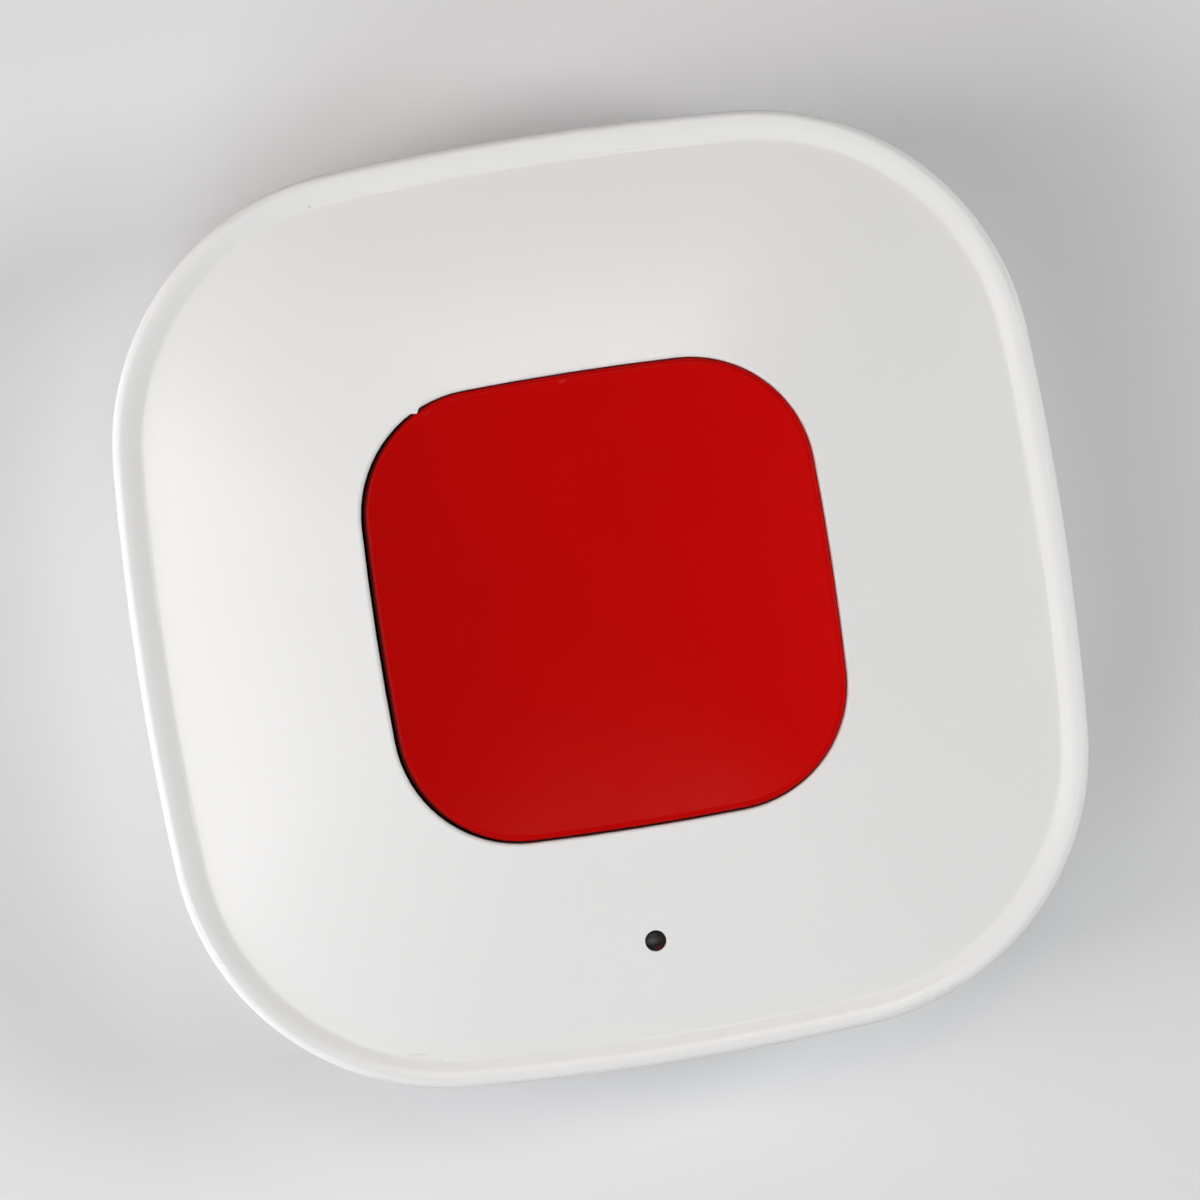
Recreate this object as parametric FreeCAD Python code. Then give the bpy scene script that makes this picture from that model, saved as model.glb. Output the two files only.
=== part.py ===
import FreeCAD, Part
import math
import os

os.makedirs("parts", exist_ok=True)

# Sizes are in millimetres and angles in degrees. +Z points out of the face, +Y to the upper edge, and z = 0
# is the wall.

# Outline of the housing: four slightly bowed sides and four round corners
body_half = 35.0
side_bow = 214.6
corner_radius = 20.7

# Outline of the window that the red cap fills
window_half = 17.15
window_bow = 210.0
window_corner = 9.3

# Front cover
cover_wall = 2.0
dome_rise = 2.6
lip_width = 2.3
lip_round = 0.55
lip_crest_round = 2.4
lip_slope = 18.0
crease_round = 0.6
window_edge_round = 0.3
cover_side_height = 5.95
cover_draft = 0.5
side_wall = 2.5
rebate_depth = 2.4
tongue_wall = 0.85
tongue_clearance = 0.05
collar_wall = 1.2
collar_depth = 4.0
collar_land = 1.25
cover_rib_wall = 1.0
cover_rib_offset = 8.0

# Red cap
cap_clearance = 0.12
cap_proud = 0.15
cap_edge_round = 0.4
dish_depth = 1.2
dish_flat_share = 0.03
cap_top_wall = 1.2
cap_skirt_wall = 1.2
flange_width = 0.95
flange_height = 1.0
flange_gap = 0.05
cap_travel = 0.8
stem_radius = 2.6
stem_length = 0.6
cap_rib_wall = 0.9
cap_rib_lift = 0.2
stop_leg_radius = 1.0
stop_leg_gap = 0.05

# Status light
led_inset = 9.3
led_hole_radius = 0.8
light_pipe_clearance = 0.05
light_pipe_recess = 0.25
light_pipe_shaft = 1.2
light_pipe_flange = 1.9
light_pipe_flange_height = 0.6
light_boss_radius = 2.4
light_boss_depth = 1.4
led_length = 2.0
led_width = 1.25
led_height = 0.8
led_edge = 0.13
led_gap = 0.3

# Rear case
floor_thickness = 1.8
case_bottom_inset = 3.2
case_bottom_round = 1.2
case_inner_inset = 3.8
parting_groove = 0.4
seal_thickness = 0.8
cell_rib_radius = 10.0
cell_rib_wall = 1.2

# Screws that join the halves, from the back
screw_inset = 8.0
case_screw_radius = 1.2
case_screw_clearance = 0.2
thread_clearance = 0.05
case_head_radius = 2.3
case_head_height = 1.5
case_head_clearance = 0.3
case_screw_length = 8.0
pillar_wall = 1.0
counterbore_depth = 3.0
pillar_gap = 0.1
pillar_height = 5.0
cover_boss_radius = 3.0
screw_end_gap = 0.5

# Screws that hold the circuit board
board_screw_inset = 8.5
board_screw_y = 9.0
board_screw_radius = 0.8
board_screw_clearance = 0.2
board_head_radius = 1.6
board_head_height = 1.1
board_screw_length = 5.0
standoff_radius = 2.3

# Pan head and tip of both kinds of screw, as shares of the head's and the shank's size
head_crown_share = 0.75
head_rim_share = 0.6
screw_tip_share = 0.5

# Battery and its holder
cell_radius = 12.25
cell_height = 5.0
cell_edge_round = 0.6
cell_step_radius = 10.6
cell_step_height = 0.4
cell_lift = 0.6
cell_clearance = 0.3
holder_wall = 1.0
holder_base = 0.75
holder_skirt = 3.6
holder_mouth = 15.0
contact_thickness = 0.25
contact_width = 5.0
contact_half_length = 7.0
contact_clearance = 0.3
side_contact_gap = 0.05
side_contact_step = 1.1
side_contact_depth = 4.0

# Circuit board
board_inset = 4.3
board_thickness = 1.0
board_notch_clearance = 0.6

# Key switches
switch_half = 3.0
switch_chamfer = 0.5
switch_lid = 0.3
switch_lid_margin = 0.15
plunger_radius = 1.7
plunger_fit = 0.05
plunger_edge = 0.25
terminal_width = 0.7
terminal_reach = 1.2
terminal_thickness = 0.2
terminal_place = 2.2
main_switch_height = 2.4
main_plunger_stand = 0.7
main_plunger_travel = 0.3
rear_switch_height = 3.5
pairing_x = 12.5
pairing_plunger_stand = 1.0
pairing_plunger_travel = 0.25
pin_hole_radius = 0.9
pin_boss_radius = 2.0
pin_boss_height = 1.2
tamper_tip_gap = 0.3
tamper_bore_clearance = 0.3
tamper_boss_wall = 1.0
tamper_boss_height = 1.5
tamper_travel = 0.9

# Rubber dome between cap and switch
rubber_pad = 1.0
rubber_base_width = 2.6
rubber_base_height = 0.8
rubber_web = 0.6
rubber_top_radius = 3.2
rubber_clearance = 0.25

# Radio and other parts on the board
part_gap = 0.6
radio_length = 18.0
radio_width = 11.0
radio_thickness = 0.8
shield_length = 12.0
shield_width = 9.0
shield_height = 1.7
shield_wall = 0.2
shield_round = 0.6
chip_size = 7.0
chip_height = 1.0
crystal_half = 1.3
crystal_width = 2.4
crystal_height = 1.6
capacitor_radius = 2.2
capacitor_height = 2.6
capacitor_foot = 0.5
antenna_half_length = 11.0
antenna_width = 2.0
antenna_height = 2.8
antenna_thickness = 0.3

# Wall plate and the hooks that the housing hangs on
plate_thickness = 2.0
plate_inset = 5.0
plate_edge = 0.5
hook_x = 18.0
hook_upper_y = 14.0
hook_lower_y = -10.0
hook_width = 5.0
hook_stem = 2.0
hook_arm = 3.0
hook_height = 1.4
hook_tip = 0.7
hook_gap = 0.15
slot_clearance = 0.3
unhook_travel = 6.0
wall_screw_spacing = 40.0
wall_slot_radius = 2.1
wall_slot_length = 8.0
wall_slot_land = 0.7
wall_head_radius = 3.7
groove_margin = 0.3
plate_recess_depth = 0.9
plate_rib = 1.6
plate_border = 3.0

# Heights above the wall, stacked from the plate to the cap
floor_top = plate_thickness + floor_thickness
cell_bottom = floor_top + cell_lift
cell_top = cell_bottom + cell_height
board_bottom = cell_top + contact_thickness + holder_base
board_top = board_bottom + board_thickness
switch_top = board_top + main_switch_height
plunger_top = switch_top + main_plunger_stand
rubber_top = plunger_top + rubber_pad
cap_underside = rubber_top + stem_length
cap_rim = cap_underside + cap_top_wall + dish_depth
window_z = cap_rim - cap_proud
crease_z = window_z - dome_rise

# Section of the lip: from the dome a round crease, a straight slope and a round crest lead up to its top
crease_half = body_half - lip_width
dome_fall = dome_rise / (crease_half**2 - window_half**2)
crease_turn = math.atan(2 * dome_fall * crease_half)
lip_turn = math.radians(lip_slope)
slope_foot = lip_width - crease_round * (math.sin(crease_turn) + math.sin(lip_turn))
slope_head = lip_round + lip_crest_round * math.sin(lip_turn)
slope_foot_z = crease_z + crease_round * (math.cos(crease_turn) - math.cos(lip_turn))
slope_head_z = slope_foot_z + (slope_foot - slope_head) * math.tan(lip_turn)
lip_top = slope_head_z + lip_crest_round * (1 - math.cos(lip_turn))

# Heights of the cover, the rear case and their screws
widest_z = lip_top - lip_round
parting_z = widest_z - cover_side_height
tongue_top = parting_z + rebate_depth - seal_thickness
collar_bottom = window_z - collar_depth
flange_top = collar_bottom - flange_gap
pillar_top = floor_top + pillar_height
cover_boss_bottom = pillar_top + pillar_gap
case_screw_seat = plate_thickness + counterbore_depth
hook_top = floor_top + hook_gap + hook_height


def corner_place(half, bow, corner):
    """How far right and up a round corner's centre lies, if it meets both bowed sides smoothly."""
    back = bow - half
    return (math.sqrt(2 * (bow - corner) ** 2 - back**2) - back) / 2


# Places that follow from the sizes
case_bore_radius = case_screw_radius + case_screw_clearance
counterbore_radius = case_head_radius + case_head_clearance
pillar_radius = counterbore_radius + pillar_wall
holder_radius = cell_radius + cell_clearance + holder_wall
rear_switch_y = -(holder_radius + part_gap + switch_half + terminal_reach)
terminal_corner = math.hypot(terminal_place + terminal_width / 2, switch_half + terminal_reach)
rubber_inner_radius = terminal_corner + rubber_clearance
crystal_y = (chip_size + crystal_width) / 2 + part_gap
capacitor_y = -(antenna_half_length + part_gap + capacitor_radius)
corner_middle = corner_place(body_half, side_bow, corner_radius)
screw_place = corner_middle + (corner_radius - screw_inset) * math.sqrt(0.5)
board_screw_x = body_half - board_screw_inset
led_distance = body_half - led_inset
antenna_x = board_screw_x - board_head_radius - part_gap - antenna_width / 2
beside_cap = (window_half + flange_width + body_half - board_inset) / 2
screw_places = [(sx * screw_place, sy * screw_place) for sx in (-1, 1) for sy in (-1, 1)]
board_screw_places = [(sx * board_screw_x, sy * board_screw_y) for sx in (-1, 1) for sy in (-1, 1)]
hook_places = [(x, y) for x in (-hook_x, hook_x) for y in (hook_upper_y, hook_lower_y)]

ORIGIN = FreeCAD.Vector(0, 0, 0)
UP = FreeCAD.Vector(0, 0, 1)
TINY = 1e-6
DOME_SECTIONS = 5  # outlines in a smooth skin


def save(name, shape):
    """Write one sub-part."""
    shape.exportStep("parts/" + name + ".step")


def cylinder(x, y, z, radius, height):
    return Part.makeCylinder(radius, height, FreeCAD.Vector(x, y, z))


def block(x, y, z, size_x, size_y, size_z):
    """A box centred on x and y, standing on z."""
    return Part.makeBox(size_x, size_y, size_z, FreeCAD.Vector(x - size_x / 2, y - size_y / 2, z))


def lathe(profile, x=0.0, y=0.0):
    """A turned solid from (radius, z) points, on an upright axis through x and y."""
    points = [FreeCAD.Vector(r, 0, z) for r, z in profile]
    face = Part.Face(Part.makePolygon(points + points[:1]))
    solid = face.revolve(ORIGIN, UP, 360)
    solid.translate(FreeCAD.Vector(x, y, 0))
    return solid


def bent_strip(points, thickness, width):
    """A folded strip of sheet, its width along X about x = 0. Walking along the (y, z) points of one of
    its faces, the sheet lies to the right."""
    line = Part.makePolygon([FreeCAD.Vector(-width / 2, y, z) for y, z in points])
    return line.makeOffset2D(thickness, 2, True, True).extrude(FreeCAD.Vector(width, 0, 0))


def arcs(half, bow, corner):
    """A bowed rounded square as tangent arcs, each (centre, radius, first angle, turn)."""
    back = bow - half
    middle = corner_place(half, bow, corner)
    turn = math.degrees(math.atan2(middle, middle + back))
    found = []
    for start in (0, 90, 180, 270):
        spin = FreeCAD.Rotation(UP, start)
        side_centre = spin.multVec(FreeCAD.Vector(-back, 0, 0))
        corner_centre = spin.multVec(FreeCAD.Vector(middle, middle, 0))
        found.append((side_centre, bow, start - turn, 2 * turn))
        found.append((corner_centre, corner, start + turn, 90 - 2 * turn))
    return found


def outline(half, bow, corner, z):
    """The bowed rounded square as a wire at height z."""
    edges = []
    for centre, radius, start, turn in arcs(half, bow, corner):
        circle = Part.Circle(centre + FreeCAD.Vector(0, 0, z), UP, radius)
        edges.append(circle.toShape(math.radians(start), math.radians(start + turn)))
    return Part.Wire(edges)


def swept(shape, points):
    """Faces that carry a line (two points) or an arc (three) round an outline. A point is (inset, z)."""
    faces = []
    for centre, radius, start, turn in arcs(*shape):
        ends = [FreeCAD.Vector(radius - inset, 0, z) for inset, z in points]
        edge = Part.Arc(*ends).toShape() if len(ends) == 3 else Part.makeLine(*ends)
        edge.rotate(ORIGIN, UP, start)
        edge.translate(centre)
        faces.append(edge.revolve(centre, UP, turn))
    return faces


def flanks(shape, points):
    """Straight faces from each (inset, z) point to the next, round an outline."""
    faces = []
    for pair in zip(points, points[1:]):
        faces += swept(shape, pair)
    return faces


def rounded(shape, first, last, centre):
    """A quarter-round edge from first to last about centre, all (inset, z), round an outline."""
    middle = [c + (a + b - 2 * c) * math.sqrt(0.5) for a, b, c in zip(first, last, centre)]
    return swept(shape, [first, tuple(middle), last])


def arc_points(centre, radius, first, last):
    """Both ends and the middle of an arc as (inset, z) points, from angle first to angle last."""
    points = []
    for angle in (first, (first + last) / 2, last):
        turn = math.radians(angle)
        points.append((centre[0] + radius * math.cos(turn), centre[1] + radius * math.sin(turn)))
    return points


def body(inset):
    """Outline of the housing, moved inwards."""
    return (body_half - inset, side_bow - inset, corner_radius - inset)


def window(inset):
    """Outline of the window, moved inwards."""
    return (window_half - inset, window_bow - inset, window_corner - inset)


def scaled(shape, share):
    return tuple(value * share for value in shape)


def between(first, last, share):
    return tuple(a + (b - a) * share for a, b in zip(first, last))


def at(shape, z):
    """A section for a skin: an outline and its height."""
    return shape + (z,)


def dome_z(half):
    """Height of the domed face where its outline has this half width."""
    return window_z - dome_fall * (half**2 - window_half**2)


def half_at(z):
    """Half width of the dome's outline at this height."""
    return math.sqrt(window_half**2 + (window_z - z) / dome_fall)


def half_at_corner(reach):
    """Half width of the dome's outline whose corner reaches this far along the diagonal."""
    reaches = []
    for shape in (body(lip_width), window(0)):
        corner_arc = arcs(*shape)[1]
        reaches.append(corner_arc[0].Length + corner_arc[1])
    share = (reaches[0] - reach) / (reaches[0] - reaches[1])
    return between(body(lip_width), window(0), share)[0]


def skin(sections):
    """Smooth faces through outlines of changing shape."""
    return Part.makeLoft([outline(*section) for section in sections], False, False).Faces


def sewn(faces):
    """The solid that these faces close."""
    shell = Part.Shell(faces)
    shell.sewShape()
    solid = Part.Solid(shell)
    if solid.Volume < 0:
        solid.reverse()
    return solid


def prism(shape, z, height):
    """An upright solid on one outline."""
    return Part.Face(outline(*at(shape, z))).extrude(FreeCAD.Vector(0, 0, height))


def slot_wire(x, y, z, length, radius):
    """A round-ended slot along X."""
    reach = length / 2 - radius
    corners = [(reach, -radius), (reach, radius), (-reach, radius), (-reach, -radius)]
    a, b, c, d = [FreeCAD.Vector(x + dx, y + dy, z) for dx, dy in corners]
    right = Part.Arc(a, FreeCAD.Vector(x + length / 2, y, z), b).toShape()
    left = Part.Arc(c, FreeCAD.Vector(x - length / 2, y, z), d).toShape()
    return Part.Wire([right, Part.makeLine(b, c), left, Part.makeLine(d, a)])


def lip_faces():
    """The cover's lip: outer round, crest, inner slope, and the crease's round that meets the dome."""
    crest = arc_points((lip_round, lip_top - lip_crest_round), lip_crest_round, 90, 90 - lip_slope)
    low_inset = slope_foot + crease_round * math.sin(lip_turn)
    low_centre = (low_inset, slope_foot_z + crease_round * math.cos(lip_turn))
    crease = arc_points(low_centre, crease_round, 270 - lip_slope, 270 + math.degrees(crease_turn))
    faces = rounded(body(0), (0, widest_z), (lip_round, lip_top), (lip_round, widest_z))
    for line in (crest, (crest[-1], crease[0]), crease):
        faces += swept(body(0), line)
    return faces


def cover_shell():
    """Moulded skin of the cover: side, lip, dome, window collar and rebate."""
    window_edge = window(-window_edge_round)
    dome = []
    for i in range(DOME_SECTIONS):
        shape = between(body(lip_width), window_edge, i / (DOME_SECTIONS - 1))
        dome.append(at(shape, dome_z(shape[0])))
    land_half = window_half + collar_wall + collar_land
    land_inset = body_half - land_half
    land_z = dome_z(land_half) - cover_wall
    land_rims = [outline(*at(body(land_inset), land_z)), outline(*at(window(-collar_wall), land_z))]
    side_z = dome_z(body_half - side_wall) - cover_wall
    edge_z = dome[-1][-1]
    round_z = edge_z - window_edge_round
    rebate = side_wall - tongue_wall - tongue_clearance
    rebate_top = parting_z + rebate_depth
    faces = flanks(body(0), [(cover_draft, parting_z), (0, widest_z)])
    faces += lip_faces() + skin(dome)
    faces += rounded(window(0), (-window_edge_round, edge_z), (0, round_z), (-window_edge_round, round_z))
    faces += flanks(window(0), [(0, round_z), (0, collar_bottom), (-collar_wall, collar_bottom),
                                (-collar_wall, land_z)])
    faces.append(Part.makeFace(land_rims, "Part::FaceMakerBullseye"))
    faces += flanks(body(0), [(land_inset, land_z), (side_wall, side_z), (side_wall, rebate_top),
                              (rebate, rebate_top), (rebate, parting_z), (cover_draft, parting_z)])
    return sewn(faces)


def cover_ribs():
    """Ribs under the dome, from the collar to where the dome comes down to the collar's depth."""
    first = window_half + collar_wall / 2
    last = min(half_at(collar_bottom + cover_wall), body_half - side_wall)
    profile = [(first, collar_bottom), (last, collar_bottom)]
    profile += [(half, dome_z(half) - cover_wall / 2) for half in (last, first)]
    ribs = []
    for angle in (0, 90, 180, 270):
        for offset in (-cover_rib_offset, cover_rib_offset):
            corners = [FreeCAD.Vector(half, offset - cover_rib_wall / 2, z) for half, z in profile]
            face = Part.Face(Part.makePolygon(corners + corners[:1]))
            rib = face.extrude(FreeCAD.Vector(0, cover_rib_wall, 0))
            rib.rotate(ORIGIN, UP, angle)
            ribs.append(rib)
    return ribs


def front_cover():
    """White cover: shell with ribs, four screw bosses, and the light pipe's boss and hole."""
    boss_height = dome_z(half_at_corner(math.sqrt(2) * screw_place)) - cover_wall / 2 - cover_boss_bottom
    light_boss_bottom = dome_z(led_distance) - cover_wall - light_boss_depth
    light_boss_height = light_boss_depth + cover_wall / 2
    light_hole_depth = cap_rim - light_boss_bottom
    bosses = [cylinder(x, y, cover_boss_bottom, cover_boss_radius, boss_height) for x, y in screw_places]
    bosses.append(cylinder(0, -led_distance, light_boss_bottom, light_boss_radius, light_boss_height))
    cover = cover_shell().fuse(bosses + cover_ribs())
    bore_radius = case_screw_radius + thread_clearance
    bore_depth = case_screw_seat + case_screw_length + screw_end_gap - cover_boss_bottom
    bores = [cylinder(x, y, cover_boss_bottom, bore_radius, bore_depth) for x, y in screw_places]
    bores.append(cylinder(0, -led_distance, light_boss_bottom, led_hole_radius, light_hole_depth))
    return cover.cut(bores)


def cap_shell():
    """Moulded skin of the cap: dished face, rounded edge, skirt and retaining flange."""
    edge_centre = (cap_clearance + cap_edge_round, cap_rim - cap_edge_round)
    dish_turn = math.degrees(math.atan(2 * dish_depth / (window_half - edge_centre[0])))
    edge = arc_points(edge_centre, cap_edge_round, 180, 90 - dish_turn)
    rim_inset, rim_z = edge[-1]
    dish = []
    for i in range(DOME_SECTIONS):
        share = dish_flat_share + (1 - dish_flat_share) * i / (DOME_SECTIONS - 1)
        dish.append(at(scaled(window(rim_inset), share), rim_z - dish_depth * (1 - share**2)))
    edge_z = edge_centre[1]
    flange_bottom = flange_top - flange_height
    inside = cap_clearance + cap_skirt_wall
    faces = [Part.Face(outline(*dish[0]))] + skin(dish) + swept(window(0), edge)
    faces += flanks(window(0), [(cap_clearance, edge_z), (cap_clearance, flange_top),
                                (-flange_width, flange_top), (-flange_width, flange_bottom),
                                (inside, flange_bottom), (inside, cap_underside)])
    faces.append(Part.Face(outline(*at(window(inside), cap_underside))))
    return sewn(faces)


def button_cap():
    """Red cap: shell with stem, four ribs, and legs that stop it on the board."""
    inside = window_half - cap_clearance - cap_skirt_wall / 2
    rib_depth = stem_length - cap_rib_lift
    extras = [cylinder(0, 0, rubber_top, stem_radius, stem_length + cap_top_wall / 2)]
    rib_height = rib_depth + cap_top_wall / 2
    for size_x, size_y in ((2 * inside, cap_rib_wall), (cap_rib_wall, 2 * inside)):
        extras.append(block(0, 0, cap_underside - rib_depth, size_x, size_y, rib_height))
    skirt_middle = window(cap_clearance + cap_skirt_wall / 2)
    corner_arc = arcs(*skirt_middle)[1]
    place = corner_arc[0].x + corner_arc[1] * math.sqrt(0.5)
    leg_bottom = board_top + cap_travel + stop_leg_gap
    for x in (-place, place):
        for y in (-place, place):
            extras.append(cylinder(x, y, leg_bottom, stop_leg_radius, flange_top - leg_bottom))
    return cap_shell().fuse(extras)


def light_pipe():
    """Smoky rod that carries the light of the LED to the hole in the face."""
    tip = led_hole_radius - light_pipe_clearance
    bottom = board_top + led_height + led_gap
    seat = dome_z(led_distance) - cover_wall - light_boss_depth
    top = dome_z(led_distance) - light_pipe_recess
    flange_bottom = seat - light_pipe_flange_height
    profile = [
        (0, bottom), (light_pipe_shaft, bottom), (light_pipe_shaft, flange_bottom),
        (light_pipe_flange, flange_bottom), (light_pipe_flange, seat), (tip, seat), (tip, top), (0, top),
    ]
    return lathe(profile, 0, -led_distance)


def tray_shell():
    """Moulded skin of the rear case: round bottom edge, drafted side and a tongue that enters the cover."""
    shoulder = parting_z - parting_groove
    tongue = side_wall - tongue_wall
    side_bottom = case_bottom_inset - case_bottom_round
    round_top = plate_thickness + case_bottom_round
    lowest = (case_bottom_inset, plate_thickness)
    faces = [Part.Face(outline(*at(body(case_bottom_inset), plate_thickness)))]
    faces += rounded(body(0), lowest, (side_bottom, round_top), (case_bottom_inset, round_top))
    faces += flanks(body(0), [(side_bottom, round_top), (cover_draft, shoulder), (tongue, shoulder),
                              (tongue, tongue_top), (side_wall, tongue_top), (case_inner_inset, floor_top)])
    faces.append(Part.Face(outline(*at(body(case_inner_inset), floor_top))))
    return sewn(faces)


def rear_case():
    """Rear half: tray with screw pillars, standoffs, a rest for the cell, hook slots and key holes."""
    root = floor_top - floor_thickness / 2
    bottom = plate_thickness
    tamper_bore = plunger_radius + tamper_bore_clearance
    tamper_boss = tamper_bore + tamper_boss_wall
    tamper_boss_top = floor_top + tamper_boss_height
    pin_boss_top = floor_top + pin_boss_height
    raised = [cylinder(x, y, bottom, pillar_radius, pillar_top - bottom) for x, y in screw_places]
    raised += [cylinder(x, y, root, standoff_radius, board_bottom - root) for x, y in board_screw_places]
    raised.append(cylinder(0, rear_switch_y, root, tamper_boss, tamper_boss_top - root))
    raised.append(cylinder(pairing_x, rear_switch_y, root, pin_boss_radius, pin_boss_top - root))
    cell_rest = cylinder(0, 0, root, cell_rib_radius, cell_bottom - root)
    raised.append(cell_rest.cut(cylinder(0, 0, root, cell_rib_radius - cell_rib_wall, cell_bottom)))
    tray = tray_shell().fuse(raised)
    cuts = [cylinder(x, y, bottom, case_bore_radius, pillar_top) for x, y in screw_places]
    cuts += [cylinder(x, y, bottom, counterbore_radius, counterbore_depth) for x, y in screw_places]
    screw_end = board_top - board_screw_length
    board_bore = board_screw_radius + thread_clearance
    cuts += [cylinder(x, y, screw_end, board_bore, board_top - screw_end) for x, y in board_screw_places]
    cuts.append(cylinder(0, rear_switch_y, bottom, tamper_bore, board_bottom))
    cuts.append(cylinder(pairing_x, rear_switch_y, bottom, pin_hole_radius, board_bottom))
    slot_width = hook_width + 2 * slot_clearance
    slot_length = hook_stem + unhook_travel + 2 * slot_clearance
    for x, y in hook_places:
        slot_middle = y + hook_stem / 2 + slot_clearance - slot_length / 2
        cuts.append(block(x, slot_middle, bottom, slot_width, slot_length, floor_thickness))
    return tray.cut(cuts)


def seal_ring():
    """Gasket on top of the rear case's tongue."""
    outer = side_wall - tongue_wall
    seal_top = tongue_top + seal_thickness
    return sewn(flanks(body(0), [(outer, tongue_top), (outer, seal_top), (side_wall, seal_top),
                                 (side_wall, tongue_top), (outer, tongue_top)]))


def circuit_board():
    """Board with a bay at each corner for the screw pillars, and holes for its own screws."""
    board = prism(body(board_inset), board_bottom, board_thickness)
    notch = max(pillar_radius, cover_boss_radius) + board_notch_clearance
    hole = board_screw_radius + board_screw_clearance
    cuts = [cylinder(x, y, board_bottom, hole, board_thickness) for x, y in board_screw_places]
    for x, y in screw_places:
        cuts.append(cylinder(x, y, board_bottom, notch, board_thickness))
        lane = block(body_half / 2, 0, board_bottom, body_half, 2 * notch, board_thickness)
        lane.rotate(ORIGIN, UP, math.degrees(math.atan2(y, x)))
        lane.translate(FreeCAD.Vector(x, y, 0))
        cuts.append(lane)
    return board.cut(cuts)


def screws(places, profile, flip_z):
    """Identical screws. The profile starts at the head's seat, z = 0, with the shank pointing up."""
    solids = []
    for x, y in places:
        solids.append(lathe([(r, flip_z(z)) for r, z in profile], x, y))
    return Part.Compound(solids)


def screw_profile(radius, length, head_radius, head_height):
    """Pan-head screw: the head lies below z = 0."""
    crown = head_radius * head_crown_share
    rim = head_height * head_rim_share
    tip = radius * screw_tip_share
    return [(0, length), (tip, length), (radius, length - radius), (radius, 0), (head_radius, 0),
            (head_radius, -rim), (crown, -head_height), (0, -head_height)]


def case_screws():
    profile = screw_profile(case_screw_radius, case_screw_length, case_head_radius, case_head_height)
    return screws(screw_places, profile, lambda z: case_screw_seat + z)


def board_screws():
    profile = screw_profile(board_screw_radius, board_screw_length, board_head_radius, board_head_height)
    return screws(board_screw_places, profile, lambda z: board_top - z)


def placed(shape, x, y, seat, way):
    """Stand a shape that was made at the origin on the board, the other way up if way is -1."""
    if way < 0:
        shape.rotate(ORIGIN, FreeCAD.Vector(1, 0, 0), 180)
    shape.translate(FreeCAD.Vector(x, y, seat))
    return shape


def notched_block(half, z, height):
    """A square block about the origin, its upright edges chamfered."""
    square = block(0, 0, z, 2 * half, 2 * half, height)
    upright = [e for e in square.Edges if abs(e.Vertexes[0].Z - e.Vertexes[1].Z) > TINY]
    return square.makeChamfer(switch_chamfer, upright)


def switch_base(x, y, seat, way, height):
    """Moulded base of a key switch, on seat, with its key side towards way (1 up, -1 down)."""
    base = notched_block(switch_half, 0, height - switch_lid)
    bore = cylinder(0, 0, (height - switch_lid) / 2, plunger_radius + plunger_fit, height)
    return placed(base.cut(bore), x, y, seat, way)


def switch_cover(x, y, seat, way, height):
    """Sheet lid of a key switch, with the hole for its plunger."""
    lid = notched_block(switch_half - switch_lid_margin, height - switch_lid, switch_lid)
    return placed(lid.cut(cylinder(0, 0, 0, plunger_radius + plunger_fit, height)), x, y, seat, way)


def switch_plunger(x, y, seat, way, height, stand, travel):
    """Round key of a switch. Its foot leaves room for the travel inside the base."""
    foot = (height - switch_lid) / 2 + travel
    top = height + stand
    profile = [(0, foot), (plunger_radius, foot), (plunger_radius, top - plunger_edge),
               (plunger_radius - plunger_edge, top), (0, top)]
    return placed(lathe(profile), x, y, seat, way)


def switch_terminals(switches):
    """Four bent legs for each key switch."""
    out = switch_half + terminal_reach
    legs = []
    for x, y, seat, way in switches:
        for turn in (0, 180):
            for lane in (-terminal_place, terminal_place):
                leg = bent_strip([(out, 0), (switch_half, 0), (switch_half, terminal_reach)],
                                 terminal_thickness, terminal_width)
                leg.translate(FreeCAD.Vector(lane, 0, 0))
                leg.rotate(ORIGIN, UP, turn)
                legs.append(placed(leg, x, y, seat, way))
    return Part.Compound(legs)


def rubber_dome():
    """Rubber hood over the main switch: it seals, lifts the cap, and presses the key through its pad."""
    shoulder = switch_top + rubber_clearance
    foot = board_top + rubber_base_height
    outer = rubber_inner_radius + rubber_web
    rim = rubber_inner_radius + rubber_base_width
    profile = [
        (0, plunger_top), (plunger_radius, plunger_top), (rubber_inner_radius - rubber_web, shoulder),
        (rubber_inner_radius, board_top), (rim, board_top), (rim, foot),
        (outer, foot), (outer - rubber_web, shoulder + rubber_web), (rubber_top_radius, rubber_top),
        (0, rubber_top),
    ]
    return lathe(profile)


def coin_cell():
    """Button cell: the can's rounded edge faces the wall, and its smaller pole faces the board."""
    can_top = cell_top - cell_step_height
    edge_in = cell_edge_round * (1 - math.sqrt(0.5))
    profile = [
        (0, cell_bottom), (cell_radius - cell_edge_round, cell_bottom),
        (cell_radius - edge_in, cell_bottom + edge_in),
        (cell_radius, cell_bottom + cell_edge_round), (cell_radius, can_top), (cell_step_radius, can_top),
        (cell_step_radius, cell_top), (0, cell_top),
    ]
    return lathe(profile)


def cell_holder():
    """Moulded holder under the board: base with a window for the contact, and an open C of wall."""
    base_bottom = board_bottom - holder_base
    bottom = base_bottom - holder_skirt
    window_x = contact_width + 2 * contact_clearance
    window_y = 2 * (contact_half_length + contact_clearance)
    holder = cylinder(0, 0, bottom, holder_radius, board_bottom - bottom)
    inside = cylinder(0, 0, bottom, cell_radius + cell_clearance, holder_skirt)
    mouth = block(0, holder_radius, bottom, holder_mouth, holder_radius, holder_skirt)
    contact_window = block(0, 0, base_bottom, window_x, window_y, holder_base)
    gate = block(-holder_radius, 0, bottom, holder_radius / 2, window_x, board_bottom - bottom)
    return holder.cut([inside, mouth, contact_window, gate])


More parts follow.
